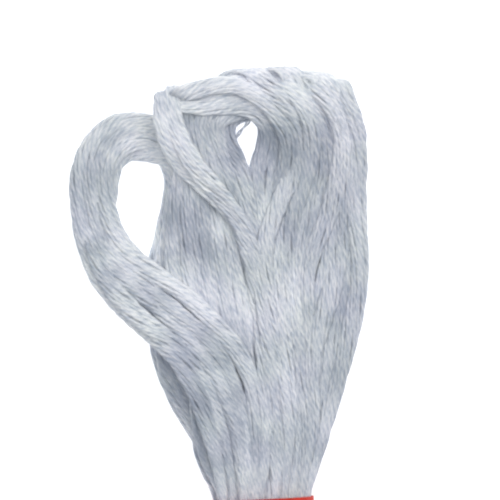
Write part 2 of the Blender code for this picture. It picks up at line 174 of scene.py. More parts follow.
# Backs: cross-sections of a group of threads behind the head, from the band upward: the
# thread at the outer edge, the middle and the inner edge as (x, rise above the band), and
# the height of the middle layer.
mainBacks = [
    [(-4.0, 0.0), (-2.2, 0.0), (-0.4, 0.0), 2.95],
    [(-5.6, 3.0), (-2.8, 3.0), (-0.7, 3.0), 2.6],
    [(-6.4, 6.8), (-3.2, 6.8), (-0.9, 6.8), 2.2],
    [(-7.1, 12.3), (-3.7, 11.8), (-1.0, 11.8), 1.9],
    [(-8.5, 16.8), (-4.3, 16.8), (-1.1, 16.8), 1.8],
    [(-9.1, 21.3), (-4.9, 21.3), (-1.1, 21.8), 1.8],
    [(-9.2, 25.8), (-5.2, 25.8), (-1.1, 26.6), 1.8],
    [(-8.7, 29.8), (-5.2, 30.0), (-1.6, 30.6), 2.0],
    [(-7.9, 33.3), (-5.4, 33.3), (-2.4, 33.5), 2.3],
    [(-7.6, 36.0), (-5.7, 36.0), (-4.0, 35.8), 2.8],
    [(-7.6, 38.2), (-6.1, 38.3), (-3.9, 38.5), 3.05],
]
loopBacks = [
    [(-0.4, 0.0), (-1.9, 0.0), (-3.3, 0.0), 1.25],
    [(-2.0, 2.0), (-3.3, 2.0), (-4.4, 1.8), 1.1],
    [(-3.6, 4.8), (-4.8, 4.8), (-5.9, 4.8), 1.0],
    [(-5.8, 8.8), (-6.9, 8.6), (-8.0, 8.6), 0.95],
    [(-7.8, 12.8), (-8.9, 12.6), (-9.9, 13.3), 0.9],
    [(-8.7, 17.3), (-9.6, 16.7), (-10.5, 17.8), 0.9],
    [(-8.6, 22.1), (-9.5, 21.5), (-10.5, 22.6), 0.9],
    [(-7.8, 26.6), (-8.8, 26.0), (-9.9, 26.2), 0.9],
    [(-7.2, 30.5), (-8.1, 29.8), (-9.0, 29.3), 0.9],
    [(-7.3, 34.1), (-7.9, 33.2), (-8.5, 32.3), 0.9],
    [(-8.6, 36.6), (-9.2, 35.3), (-9.4, 34.2), 0.9],
]
crossingBacks = [
    [(0.5, 0.0), (1.0, 0.0), (1.5, 0.0), 1.25],
    [(-1.7, 3.8), (-0.9, 3.8), (0.0, 3.6), 1.0],
    [(-3.8, 8.8), (-2.3, 8.8), (-0.8, 8.8), 0.6],
    [(-5.6, 14.8), (-4.3, 14.8), (-2.8, 14.8), 0.5],
    [(-6.6, 20.8), (-5.6, 20.8), (-4.6, 20.8), 0.5],
    [(-7.0, 26.8), (-6.3, 26.8), (-5.5, 26.8), 0.5],
    [(-7.3, 31.8), (-6.7, 31.8), (-6.1, 31.8), 0.5],
    [(-8.7, 36.4), (-8.0, 36.4), (-7.3, 36.4), 0.6],
]
# where the crossing threads fold over the head's upper left corner
crossingFolds = [(-9.8, 40.7), (-8.7, 41.1)]
crossingPitch = 21  # in which the yarns of those two threads go round once

# Main threads: two fronts it lies midway between, how far it lies under them, its place at
# the back (0 outer edge to 1 inner edge) and its layer there, and its pitch.
mainThreads = [
    (0, 0, 0.0, 0.0, -1, 28), (1, 1, 0.0, 0.08, -1, 26), (2, 2, 0.0, 0.16, -1, 30),
    (3, 3, 0.0, 0.45, -1, 16), (4, 4, 0.0, 0.6, -1, 25), (5, 5, 0.0, 0.7, 0, 24),
    (6, 6, 0.0, 0.76, -1, 32), (7, 7, 0.0, 0.88, 0, 24), (8, 8, 0.0, 0.96, -1, 28),
    (1, 2, 0.5, 0.03, 1, 28), (2, 3, 0.45, 0.22, 1, 26), (3, 4, 0.35, 0.2, 0, 22),
    (4, 5, 0.1, 0.42, 1, 31), (5, 6, 0.3, 0.4, 0, 24), (6, 7, 0.25, 0.62, 1, 30),
    (7, 8, 0.3, 0.8, 1, 26), (4, 6, 1.4, 0.55, 0, 24), (6, 8, 1.4, 1.0, 1, 24),
]

# The loop's threads: its front, its place and layer at the back, and its pitch.
loopThreads = [(0, 0.0, 0.5, 19), (1, 0.2, -0.4, 17), (2, 0.4, 0.5, 24), (3, 0.6, -0.4, 19),
               (4, 0.8, 0.5, 26), (5, 1.0, -0.4, 32)]

threadSettings = {
    "layer": 0.95,  # from one layer of threads to the next
    "coarseStep": 1.0,  # between a path's points while threads push each other
    "step": 0.55,  # and in the end
    "wander": 0.13,  # how far a thread strays sideways from its place
    "wanderUp": 0.08,
    "wanderLengths": (27.0, 15.0, 9.0),  # its waves
    "sideways": (0.62, 0.95),  # how close two threads' middles come, banded and loose
    "upward": (0.7, 0.85),
    "looseReach": 9.0,  # from the band's edge to where a thread is quite loose
    "relaxRounds": 48,
    "near": 2.1,  # points that are nearer than this may push each other
    "nearRounds": 6,  # the rounds for which near points stay the same
    "push": 0.7,  # how much of an overlap goes, each round
    "pull": 0.1,  # back to its place, each round
    "smoothing": 0.3,  # how much of a kink goes, each round
    "lowest": 0.5,  # that a thread's middle may lie
    "seed": 12,
}
down = np.array([0.0, 0.0, -1.0])


# how far along a path each point is, and the gaps between them
def lengthsOf(points):
    gaps = np.linalg.norm(np.diff(points, axis=0), axis=1)
    return np.concatenate([[0], np.cumsum(gaps)]), gaps


# the points joined by a smooth curve and set out evenly along it
def smoothThrough(points, step, fineSteps=12):
    before, after = np.vstack([points[:1], points[:-1]]), np.vstack([points[1:], points[-1:]])
    beyond = np.vstack([points[2:], points[-1:], points[-1:]])
    t = np.linspace(0, 1, fineSteps, endpoint=False)[None, :, None]
    a, b, c, d = (k[:-1, None, :] for k in (before, points, after, beyond))
    fine = 0.5 * (2 * b + (c - a) * t + (2 * a - 5 * b + 4 * c - d) * t**2
                  + (3 * b - a - 3 * c + d) * t**3)
    fine = np.vstack([fine.reshape(-1, points.shape[1]), points[-1:]])
    along = lengthsOf(fine[:, :3])[0]
    even = np.linspace(0, along[-1], int(along[-1] / step) + 1)
    return np.array([np.interp(even, along, fine[:, k]) for k in range(fine.shape[1])]).T


# 0 in the band, 1 where the threads are quite loose
def looseness(y):
    return np.clip((np.abs(y) - bandEdge) / threadSettings["looseReach"], 0, 1)


# a thread's way up behind the head, on a smooth line across each section. A way's points hold
# x, y and height, and the direction in which the thread's flat side faces, inwards on a fold
def backWay(rows, place, layer):
    blend = np.array([2 * (place - 0.5) * (place - 1), 4 * place * (1 - place), 2 * place * (place - 0.5)])
    points = []
    for row in rows:
        x, rise = blend @ np.array(row[:3])
        height = max(row[3] + layer * threadSettings["layer"], threadSettings["lowest"])
        points.append([x, bandEdge + rise, height, 0, 0, 1])
    return [[points[0][0], 0.0] + points[0][2:]] + points


# a thread's way down over the front
def frontWay(front, sunk=0.0):
    points = [[x, bandEdge + rise, max(height - sunk, threadSettings["lowest"]), *down]
              for x, rise, height in front]
    return points + [[points[-1][0], 0.0] + points[-1][2:]]


foldSettings = {
    "leftEnd": -10.2,  # the x at which the head's top edge begins
    "room": 2.4,  # with this much of it at its side, a fold runs its whole way along the edge
    "leastBefore": 0.15,  # the least share of that way, before the turn and after it
    "leastAfter": 0.3,
    "sunkDrop": 0.4,  # how much lower a thread folds for each unit it lies under its fronts
    # how far along the edge and how far in from it, how far from the back's height (-1) to
    # the front's (1), and how far up the thread's flat side faces there
    "points": [(-2.4, 0.8, -0.95, 1.0), (-1.1, 0.25, -0.6, 0.7), (0.0, 0.0, 0.0, 0.0),
               (1.0, 0.2, 0.6, -0.7)],
}

# a fold to the right of "fromX" is reached by a way above the eye
aboveEye = {"fromX": 0.5, "x": -0.5, "rise": 40.6, "slope": -0.22}


# the turn over the head's top edge, between the end of one way and the start of the other
def fold(back, front, apex):
    apex = np.array([apex[0], bandEdge + apex[1]])
    ahead = np.array(front[0][:2]) - apex
    ahead /= np.linalg.norm(ahead)
    behind = np.array([-ahead[0], ahead[1]])
    outward = -(ahead + behind) / np.linalg.norm(ahead + behind)
    along = np.array([outward[1], -outward[0]])
    low, high = back[-1][2], front[0][2]
    middle, reach = (low + high) / 2, (high - low) / 2
    before = min(max((apex[0] - back[-1][0]) / foldSettings["room"], foldSettings["leastBefore"]), 1.0)
    roomAfter = apex[0] - foldSettings["leftEnd"]
    after = min(max(roomAfter / foldSettings["room"], foldSettings["leastAfter"]), 1.0)
    turn = []
    for way, inset, share, lean in foldSettings["points"]:
        spot = apex + along * way * (before if way < 0 else after) - outward * inset
        across = -outward * math.sqrt(1 - lean * lean)
        turn.append([*spot, middle + share * reach, *across, lean])
    return turn


# the way midway between two fronts
def midway(one, other, count=26):
    both = []
    for front in (one, other):
        front = np.array(front)
        share = np.linspace(0, len(front) - 1, count)
        both.append(np.array([np.interp(share, range(len(front)), front[:, k]) for k in range(3)]).T)
    return (both[0] + both[1]) / 2


# every thread of the head from the band and back to it, with its pitch
def headThreads():
    threads = []
    for one, other, sunk, place, layer, pitch in mainThreads:
        front = midway(mainFronts[one][1:], mainFronts[other][1:])
        if one == other:
            front = np.array(mainFronts[one][1:])
        apex = (np.array(mainFronts[one][0]) + np.array(mainFronts[other][0])) / 2
        apex[1] -= foldSettings["sunkDrop"] * sunk
        back, front = backWay(mainBacks, place, layer), frontWay(front, sunk)
        if apex[0] > aboveEye["fromX"]:
            y = bandEdge + aboveEye["rise"] + aboveEye["slope"] * apex[0]
            back.append([aboveEye["x"], y, back[-1][2], 0, 0, 1])
        threads.append((back + fold(back, front, apex) + front, pitch))
    for number, place, layer, pitch in loopThreads:
        back = backWay(loopBacks, place, layer)
        front = [[*point[:3], 0, 0, 1] for point in frontWay(loopFronts[number][::-1])]
        threads.append((back + front, pitch))
    for number, place in enumerate((0.0, 1.0)):
        back = backWay(crossingBacks, place, 0)
        front = frontWay(crossingFronts[number])
        threads.append((back + fold(back, front, crossingFolds[number]) + front, crossingPitch))
    return threads


# the direction of a path at each point
def tangentsOf(points):
    tangents = np.gradient(points, axis=0)
    return tangents / np.linalg.norm(tangents, axis=1)[:, None]


# a wave of this length along a path, begun at random
def wave(along, length, dice):
    return np.sin(2 * np.pi * (along / length + dice.random()))


# lets a thread stray a little from its place where it is loose
def wanderOff(path, step, dice):
    tangent = tangentsOf(path[:, :3])
    side = np.cross(tangent, path[:, 3:])
    along = np.arange(len(path)) * step
    loose = looseness(path[:, 1])
    for length in threadSettings["wanderLengths"]:
        aside, rise = wave(along, length, dice), wave(along, length, dice)
        size = length / threadSettings["wanderLengths"][0]
        path[:, :3] += side * (aside * loose * threadSettings["wander"] * size)[:, None]
        path[:, :3] += path[:, 3:] * (rise * loose * threadSettings["wanderUp"] * size)[:, None]


# which points of different threads are near each other, worked out for a batch at a time
def nearPairs(points, owner, reach, batch=400):
    firsts, seconds = [], []
    for start in range(0, len(points), batch):
        part = points[start : start + batch]
        close = ((part[:, None, :] - points[None, :, :]) ** 2).sum(2) < reach**2
        close &= owner[start : start + batch, None] != owner[None, :]
        first, second = np.nonzero(close)
        firsts.append(first + start)
        seconds.append(second)
    return np.concatenate(firsts), np.concatenate(seconds)


# pushes apart threads that lie in each other, and lifts them off the surface
def relax(paths, owners):
    lengths = [len(path) for path in paths]
    every = np.vstack(paths)
    points, facing = every[:, :3].copy(), every[:, 3:]
    home = points.copy()
    owner = np.repeat(owners, lengths)
    ends = np.cumsum(lengths)
    inner = np.ones(len(points), bool)
    inner[ends - 1] = False
    inner[ends - np.array(lengths)] = False
    inner = np.nonzero(inner)[0]
    (sideBanded, sideLoose), (upBanded, upLoose) = threadSettings["sideways"], threadSettings["upward"]
    for turn in range(threadSettings["relaxRounds"]):
        if turn % threadSettings["nearRounds"] == 0:
            first, second = nearPairs(points, owner, threadSettings["near"])
        loose = looseness(points[:, 1])
        sideways = (sideBanded + (sideLoose - sideBanded) * loose)[first]
        upward = (upBanded + (upLoose - upBanded) * loose)[first]
        apart = points[first] - points[second]
        lift = (apart * facing[first]).sum(1)[:, None] * facing[first]
        aside = apart - lift
        nearness = np.sqrt((aside**2).sum(1) / sideways**2 + (lift**2).sum(1) / upward**2) + 1e-6
        overlap = np.clip(1 - nearness, 0, None)
        push = aside / sideways[:, None] ** 2 + lift / upward[:, None] ** 2
        push *= (overlap * upward / (np.linalg.norm(push, axis=1) + 1e-6))[:, None]
        count = np.maximum(np.bincount(first, overlap > 0, len(points)), 1)
        for k in range(3):
            points[:, k] += threadSettings["push"] * np.bincount(first, push[:, k], len(points)) / count
        points += (home - points) * threadSettings["pull"]
        between = (points[inner - 1] + points[inner + 1]) / 2
        points[inner] += threadSettings["smoothing"] * (between - points[inner])
        points[:, 2] = np.maximum(points[:, 2], threadSettings["lowest"])
    for path, end in zip(paths, ends):
        path[:, :3] = points[end - len(path) : end]


# the threads' paths, once they have pushed each other into place. The last few may be twinned:
# they lie in each other as one rope
def settle(threads, step, twinned=0):
    dice = random.Random(threadSettings["seed"])
    coarse = threadSettings["coarseStep"]
    paths = [smoothThrough(np.array(points, float), coarse) for points, pitch in threads]
    for path in paths:
        wanderOff(path, coarse, dice)
    owners = np.minimum(np.arange(len(paths)), len(paths) - twinned)
    relax(paths, owners)
    return [(smoothThrough(path, step), pitch) for path, (points, pitch) in zip(paths, threads)]


print("laying the threads of the head")
headPaths = settle(headThreads(), threadSettings["step"], len(crossingFronts))

# two loose fibres across a corner of the eye, as (x, rise above the band, height)
strayFibres = {
    "way": [(-0.6, 38.9, 4.2), (-1.2, 38.0, 4.1), (-1.7, 37.3, 4.0), (-2.3, 36.6, 3.9), (-3.0, 35.4, 3.4)],
    "step": 0.2,
    "pitch": 3.0,
    "fibres": 2,
    "radius": 0.1,
    "spread": 0.2,  # of a whole thread's width and thickness
}
strayWay = np.array([[x, bandEdge + rise, height, 0, 0, 1] for x, rise, height in strayFibres["way"]])
strayPaths = [(smoothThrough(strayWay, strayFibres["step"]), strayFibres["pitch"])]


# The tail's nested turns: how many, half the gap inside the first one and the spacing at the
# band, and their height at the band and out in the tail.
tailNests = [(7, 0.4, 0.6, 2.0, 1.35), (6, 0.4, 0.72, 2.95, 2.3), (5, 0.5, 0.85, 3.9, 3.25),
             (4, 0.5, 0.9, 4.75, 4.15), (4, 0.5, 0.9, 1.25, 0.5)]

tailSettings = {
    "sinkReach": 14.0,  # below the band, until a turn has sunk to its height in the tail
    "sway": -1.6,  # how far the tail bends aside
    "swayReach": 80.0,  # over this length
    "turnGaps": (1.4, 6.7),  # half the width inside the end turns, inner and outer
    "turnLengths": (2.6, 8.2),  # how long their round ends are
    # y, and how far a turn has spread there from the band to its widest
    "spreads": [(0.0, 0.0), (-13.0, 0.0), (-22.0, 0.35), (-36.0, 0.62), (-54.0, 0.82), (-70.0, 0.95)],
    "turnSteps": 6,
    "endInset": 0.9,  # from the hank's end to the middle of its outermost thread
    "slack": 0.7,  # how unevenly the turns end
    "pitch": 12,
    "step": 1.2,
    "seed": 4,
}


# one nested turn of the tail, from the band round its end and back
def tailThread(nest, index, dice):
    count, firstGap, spacing, bandHeight, tailHeight = nest
    gap = firstGap + spacing * index
    outward = index / (count - 1)
    innerGap, outerGap = tailSettings["turnGaps"]
    innerLength, outerLength = tailSettings["turnLengths"]
    turnGap = innerGap + (outerGap - innerGap) * outward
    turnLength = innerLength + (outerLength - innerLength) * outward
    uneven = dice.random() * tailSettings["slack"] * (1 - outward)
    turnStart = hankLow.y + tailSettings["endInset"] + outerLength + uneven
    side = [(gap + (turnGap - gap) * share, y) for y, share in tailSettings["spreads"]]
    for step in range(tailSettings["turnSteps"] + 1):
        angle = math.pi / 2 * step / tailSettings["turnSteps"]
        side.append((turnGap * math.cos(angle), turnStart - turnLength * math.sin(angle)))
    points = []
    for x, y in side + [(-x, y) for x, y in reversed(side[:-1])]:
        below = max(0.0, -y - bandEdge)
        sunk = min(1.0, below / tailSettings["sinkReach"])
        height = bandHeight + (tailHeight - bandHeight) * sunk
        sway = tailSettings["sway"] * (below / tailSettings["swayReach"]) ** 2
        points.append([x + sway, y, height, 0, 0, 1])
    return points


print("laying the threads of the tail")
tailDice = random.Random(tailSettings["seed"])
tailPaths = settle([(tailThread(nest, index, tailDice), tailSettings["pitch"])
                    for nest in tailNests for index in range(nest[0])], tailSettings["step"])


# six plies of two yarns each make a thread
yarnSettings = {
    "yarns": 12,
    "radius": 0.235,
    "halfWidth": (0.36, 0.74),  # of the ring in which the yarns lie, banded and loose
    "halfHeight": (0.2, 0.18),
    "evenness": 0.3,  # spreads them evenly over the ring's flat sides
    "pitchVaries": 0.25,  # along each thread, in these waves
    "pitchWaves": (40.0, 23.0),
    "girthVaries": 0.12,
    "girthWaves": (31.0, 13.0),
    # slow drifts along a yarn: their length, the part of the noise that they read, their size
    "drifts": {
        "twist": (6.0, 0.0, 0.1),
        "width": (5.0, 20.0, 0.3),
        "thickness": (5.0, 40.0, 0.4),
        "girth": (4.0, 60.0, 0.4),
        "aside": (1.3, 80.0, 0.12),
        "upward": (1.3, 90.0, 0.12),
    },
    "noiseApart": (7.3, 13.1),  # from yarn to yarn and from thread to thread
    "fibresApart": (61.0, 379.0),  # so that no two yarns have the same fibres
    "seed": 3,
}

paintedLightAndToneSettings = {
    "along": 0.6,  # the painted sheen of a thread that runs along the skein; one athwart, across the light, has all of it, 1
    "acrossFull": 0.4,  # how squarely athwart is enough for that
    "varies": 0.17,  # along each thread, in these waves
    "waves": (27.0, 11.0),
    "puff": 0.45,  # how much thicker the yarns are where their painted sheen is high
    "behindFrom": -1.5,  # left of this x, painted shade darkens the legs behind the head,
    "behindReach": 3.0,  # all of it this much further on
    # soft spots of painted shade, where the floss lies in shade: x, rise above the band, radius, how much
    # darker
    "shades": [(-5.8, 41.3, 1.2, 0.3), (-2.0, 38.2, 1.4, 0.5), (0.6, 36.2, 2.2, 0.6),
               (-15.0, 35.5, 1.7, 0.35), (-2.8, 34.2, 1.4, 0.5), (3.5, 33.5, 3.0, 0.3),
               (-17.3, 32.0, 2.0, 0.25), (-4.0, 30.4, 1.2, 0.35), (-8.5, 28.5, 1.6, 0.25),
               (-2.4, 28.3, 1.1, 0.3), (4.9, 27.0, 2.6, 0.4), (-6.6, 25.3, 1.6, 0.2),
               (-17.0, 24.8, 1.1, 0.5), (-14.8, 22.4, 1.3, 0.7), (-12.6, 20.8, 1.3, 0.6),
               (-10.8, 19.3, 1.4, 0.65), (8.2, 19.0, 3.2, 0.25), (-7.0, 18.4, 1.2, 0.25),
               (-5.3, 16.6, 1.6, 0.8), (-9.2, 16.2, 1.5, 0.45), (-3.5, 14.2, 1.5, 0.6),
               (-8.3, 13.9, 1.6, 0.6), (-6.0, 13.4, 1.3, 0.4), (6.5, 12.5, 2.0, 0.25),
               (-8.2, 10.8, 1.6, 0.4), (-2.4, 10.4, 1.3, 0.4), (-6.1, 9.4, 1.8, 0.45),
               (-4.2, 6.5, 2.6, 0.35), (0.2, 5.0, 1.4, 0.3), (6.0, 5.0, 1.2, 0.4),
               (-4.6, 3.6, 1.6, 0.35)],
    # and soft spots of painted highlight, where it catches the light: how much brighter
    "lights": [(-11.0, 37.5, 1.5, 0.35), (8.8, 35.0, 3.0, 0.35), (-8.2, 34.4, 3.2, 0.4),
               (-0.6, 28.2, 1.2, 0.3), (-4.4, 27.0, 1.5, 0.5), (-9.8, 25.6, 1.4, 0.3),
               (-7.4, 21.8, 2.2, 0.4), (4.3, 21.0, 1.6, 0.3), (-3.4, 19.5, 2.6, 0.5),
               (1.2, 18.5, 3.0, 0.35)],
}


# a new node of this kind, with these of its values set
def addNode(tree, kind, **values):
    node = tree.nodes.new(kind)
    for key, value in values.items():
        setattr(node, key, value)
    return node


# a node that calculates with numbers and other nodes' outputs
def addMath(tree, operation, *values):
    node = addNode(tree, "ShaderNodeMath", operation=operation)
    for slot, value in zip(node.inputs, values):
        if isinstance(value, (int, float)):
            slot.default_value = value
        else:
            tree.links.new(value, slot)
    return node.outputs[0]


# a noise with these of its inputs set
def addNoise(tree, vector, **values):
    noise = addNode(tree, "ShaderNodeTexNoise")
    for key, value in values.items():
        noise.inputs[key].default_value = value
    tree.links.new(vector, noise.inputs["Vector"])
    return noise.outputs[0]


# geometry nodes that lay twisted yarns along each path and give them their roundness
def yarnTree():
    tree = bpy.data.node_groups.new("twistedYarns", "GeometryNodeTree")
    add, calc, link = partial(addNode, tree), partial(addMath, tree), tree.links.new
    tree.interface.new_socket("Geometry", in_out="INPUT", socket_type="NodeSocketGeometry")
    for name, kind, value in [
        ("Yarns", "NodeSocketInt", yarnSettings["yarns"]),
        ("Yarn Radius", "NodeSocketFloat", yarnSettings["radius"] * mm),
        ("Sides", "NodeSocketInt", 4),
        ("Seed", "NodeSocketInt", yarnSettings["seed"]),
        ("Material", "NodeSocketMaterial", None),
    ]:
        socket = tree.interface.new_socket(name, in_out="INPUT", socket_type=kind)
        if value is not None:
            socket.default_value = value
    tree.interface.new_socket("Geometry", in_out="OUTPUT", socket_type="NodeSocketGeometry")

    def attribute(name, kind="FLOAT"):
        node = add("GeometryNodeInputNamedAttribute", data_type=kind)
        node.inputs["Name"].default_value = name
        return node.outputs["Attribute"]

    def keep(name, kind, geometry, value):
        node = add("GeometryNodeStoreNamedAttribute", data_type=kind, domain="POINT")
        node.inputs["Name"].default_value = name
        link(geometry, node.inputs["Geometry"])
        link(value, node.inputs["Value"])
        return node.outputs["Geometry"]

    def scaled(vector, factor):
        node = add("ShaderNodeVectorMath", operation="SCALE")
        link(vector, node.inputs[0])
        link(factor, node.inputs["Scale"])
        return node.outputs[0]

    start = add("NodeGroupInput").outputs
    toCurve = add("GeometryNodeMeshToCurve")
    link(start["Geometry"], toCurve.inputs["Mesh"])
    copies = add("GeometryNodeDuplicateElements", domain="SPLINE")
    link(toCurve.outputs["Curve"], copies.inputs["Geometry"])
    link(start["Yarns"], copies.inputs["Amount"])
    numbered = keep("yarn", "FLOAT", copies.outputs["Geometry"], copies.outputs["Duplicate Index"])
    yarn, along, lane = attribute("yarn"), attribute("along"), attribute("lane")

    # a number for each yarn of each thread, this far apart
    def numberedBy(apart):
        return calc("MULTIPLY_ADD", yarn, apart[0], calc("MULTIPLY", lane, apart[1]))

    # this slow drift, different for each yarn of each thread, added to the base
    def drift(name, base, unit=1.0):
        length, shift, size = yarnSettings["drifts"][name]
        place = add("ShaderNodeCombineXYZ")
        link(calc("DIVIDE", along, length * mm), place.inputs["X"])
        link(numberedBy(yarnSettings["noiseApart"]), place.inputs["Y"])
        link(calc("ADD", start["Seed"], shift), place.inputs["Z"])
        noise = addNoise(tree, place.outputs[0], Scale=1.0, Detail=1.0)
        return calc("MULTIPLY_ADD", calc("SUBTRACT", noise, 0.5), size * unit, base)

    # round a flat ring, each yarn with its share of a turn
    turns = calc("ADD", attribute("turns"), calc("DIVIDE", yarn, start["Yarns"]))
    angle = calc("MULTIPLY", drift("twist", turns), 2 * math.pi)
    doubled = calc("SINE", calc("MULTIPLY", angle, 2.0))
    angle = calc("MULTIPLY_ADD", doubled, yarnSettings["evenness"], angle)
    wide = calc("MULTIPLY", attribute("halfWide"), drift("width", 1.0))
    thick = calc("MULTIPLY", attribute("halfThick"), drift("thickness", 1.0))
    aside = calc("MULTIPLY_ADD", calc("COSINE", angle), wide, drift("aside", 0.0, mm))
    upward = calc("MULTIPLY_ADD", calc("SINE", angle), thick, drift("upward", 0.0, mm))
    offset = add("ShaderNodeVectorMath", operation="ADD")
    link(scaled(attribute("side", "FLOAT_VECTOR"), aside), offset.inputs[0])
    link(scaled(attribute("facing", "FLOAT_VECTOR"), upward), offset.inputs[1])
    lay = add("GeometryNodeSetPosition")
    link(numbered, lay.inputs["Geometry"])
    link(offset.outputs[0], lay.inputs["Offset"])

    swell = add("GeometryNodeSetCurveRadius")
    link(lay.outputs["Geometry"], swell.inputs["Curve"])
    puff = calc("MULTIPLY_ADD", attribute("paintedLightAndTone"), paintedLightAndToneSettings["puff"], 1.0)
    link(calc("MULTIPLY", drift("girth", 1.0), puff), swell.inputs["Radius"])
    # millimetres along each yarn, for the material
    measured = calc("ADD", calc("DIVIDE", along, mm), numberedBy(yarnSettings["fibresApart"]))
    laid = keep("yarnAlong", "FLOAT", swell.outputs["Curve"], measured)

    circle = add("GeometryNodeCurvePrimitiveCircle", mode="RADIUS")
    link(start["Sides"], circle.inputs["Resolution"])
    link(start["Yarn Radius"], circle.inputs["Radius"])
    unit = add("ShaderNodeVectorMath", operation="NORMALIZE")
    link(add("GeometryNodeInputPosition").outputs[0], unit.inputs[0])
    section = keep("yarnRound", "FLOAT_VECTOR", circle.outputs["Curve"], unit.outputs[0])

    body = add("GeometryNodeCurveToMesh")
    body.inputs["Fill Caps"].default_value = True
    link(laid, body.inputs["Curve"])
    link(section, body.inputs["Profile Curve"])
    smooth = add("GeometryNodeSetShadeSmooth")
    link(body.outputs["Mesh"], smooth.inputs["Geometry"])
    real = add("GeometryNodeRealizeInstances")
    link(smooth.outputs["Geometry"], real.inputs["Geometry"])
    finish = add("GeometryNodeSetMaterial")
    link(real.outputs["Geometry"], finish.inputs["Geometry"])
    link(start["Material"], finish.inputs["Material"])
    link(finish.outputs["Geometry"], add("NodeGroupOutput").inputs["Geometry"])
    return tree


# a colour ramp between two tones at these positions
def addRamp(tree, value, low, high, positions=(0.0, 1.0)):
    ramp = addNode(tree, "ShaderNodeValToRGB")
    for element, position, colour in zip(ramp.color_ramp.elements, positions, (low, high)):
        element.position = position
        element.color = (*colour, 1)
    tree.links.new(value, ramp.inputs[0])
    return ramp.outputs[0]


# one colour multiplied by another
def addTint(tree, colour, tint):
    mix = addNode(tree, "ShaderNodeMix", data_type="RGBA", blend_type="MULTIPLY")
    mix.inputs[0].default_value = 1.0
    tree.links.new(colour, mix.inputs[6])
    tree.links.new(tint, mix.inputs[7])
    return mix.outputs[2]


# a bump of this many millimetres on the shader
def addBump(tree, shader, height, strength, distance):
    bump = addNode(tree, "ShaderNodeBump")
    bump.inputs["Strength"].default_value = strength
    bump.inputs["Distance"].default_value = distance * mm
    tree.links.new(height, bump.inputs["Height"])
    tree.links.new(bump.outputs[0], shader.inputs["Normal"])


# a new material whose shader has these inputs, with its node tree and that shader
def newMaterial(name, inputs):
    material = bpy.data.materials.new(name)
    material.use_nodes = True
    shader = material.node_tree.nodes["Principled BSDF"]
    for key, value in inputs.items():
        shader.inputs[key].default_value = value
    return material, material.node_tree, shader


cottonSettings = {
    "shader": {"Roughness": 0.5, "Specular IOR Level": 0.6, "Sheen Weight": 0.15, "Sheen Roughness": 0.5},
    "twist": 2.6,  # each yarn's own, in radians per millimetre
    "stretch": 0.9,  # of its fibres
    "streaks": {"Scale": 1.0, "Detail": 3.0, "Roughness": 0.6},
    # the fibre streaks run from a shaded tone to a lit one: partly the fibres' own texture, partly painted
    # highlight and shade
    "shade": (0.54, 0.595, 0.69),
    "light": (0.97, 0.975, 0.99),
    "tonePositions": (0.46, 0.82),
    "ridgeTone": 0.1,  # painted highlight: how much lighter the ridges of the twist are
    "patches": {"Scale": 210.0, "Detail": 1.0},  # broad, faint changes of hue
    "greenish": (0.972, 0.99, 0.96),
    "bluish": (0.985, 0.98, 1.0),
    "huePositions": (0.35, 0.65),
    "paintedShadeTint": (0.57, 0.585, 0.61),  # painted shade: the tint of floss with no painted sheen
    "white": (1.0, 1.0, 1.0),
    "evenness": 0.2,  # threads with more painted sheen show fewer of the darker fibres
    "bumpHeight": 0.018,
    "ridgeHeight": 0.6,  # of the twist, beside the fibres' own
}


# mercerised cotton: fine fibres along each yarn, with a soft silky sheen, partly from the shader and partly
# painted into the colour
def flossMaterial():
    material, tree, shader = newMaterial("silverWhiteCotton", cottonSettings["shader"])
    add, calc, link = partial(addNode, tree), partial(addMath, tree), tree.links.new

    # each yarn's surface, unwound from its own twist
    along = add("ShaderNodeAttribute", attribute_name="yarnAlong").outputs["Fac"]
    turn = add("ShaderNodeVectorRotate", rotation_type="Z_AXIS")
    link(add("ShaderNodeAttribute", attribute_name="yarnRound").outputs["Vector"], turn.inputs["Vector"])
    link(calc("MULTIPLY", along, cottonSettings["twist"]), turn.inputs["Angle"])
    parts = add("ShaderNodeSeparateXYZ")
    link(turn.outputs[0], parts.inputs[0])
    x, y = parts.outputs["X"], parts.outputs["Y"]
    ridges = calc("SUBTRACT", calc("POWER", x, 2.0), calc("POWER", y, 2.0))
    fibre = add("ShaderNodeCombineXYZ")
    link(x, fibre.inputs["X"])
    link(y, fibre.inputs["Y"])
    link(calc("MULTIPLY", along, cottonSettings["stretch"]), fibre.inputs["Z"])
    streaks = addNoise(tree, fibre.outputs[0], **cottonSettings["streaks"])
    # the painted sheen and shade, with the random tone, that the threads' paths carry
    sheen = add("ShaderNodeAttribute", attribute_name="paintedLightAndTone").outputs["Fac"]
    lighter = calc("MULTIPLY_ADD", sheen, cottonSettings["evenness"], streaks)
    lighter = calc("MULTIPLY_ADD", ridges, cottonSettings["ridgeTone"], lighter)
    tone = addRamp(tree, lighter, cottonSettings["shade"], cottonSettings["light"],
                   cottonSettings["tonePositions"])

    patches = addNoise(tree, add("ShaderNodeTexCoord").outputs["Object"], **cottonSettings["patches"])
    hue = addRamp(tree, patches, cottonSettings["greenish"], cottonSettings["bluish"],
                  cottonSettings["huePositions"])
    # painted sheen and shade: the colour is lighter where the threads lie across the light or carry painted
    # highlights, and darker along it and in painted shade
    paintedLightAndTone = addRamp(tree, sheen, cottonSettings["paintedShadeTint"], cottonSettings["white"])
    link(addTint(tree, addTint(tree, tone, hue), paintedLightAndTone), shader.inputs["Base Color"])

    height = calc("MULTIPLY_ADD", ridges, cottonSettings["ridgeHeight"], streaks)
    addBump(tree, shader, height, 1.0, cottonSettings["bumpHeight"])
    return material
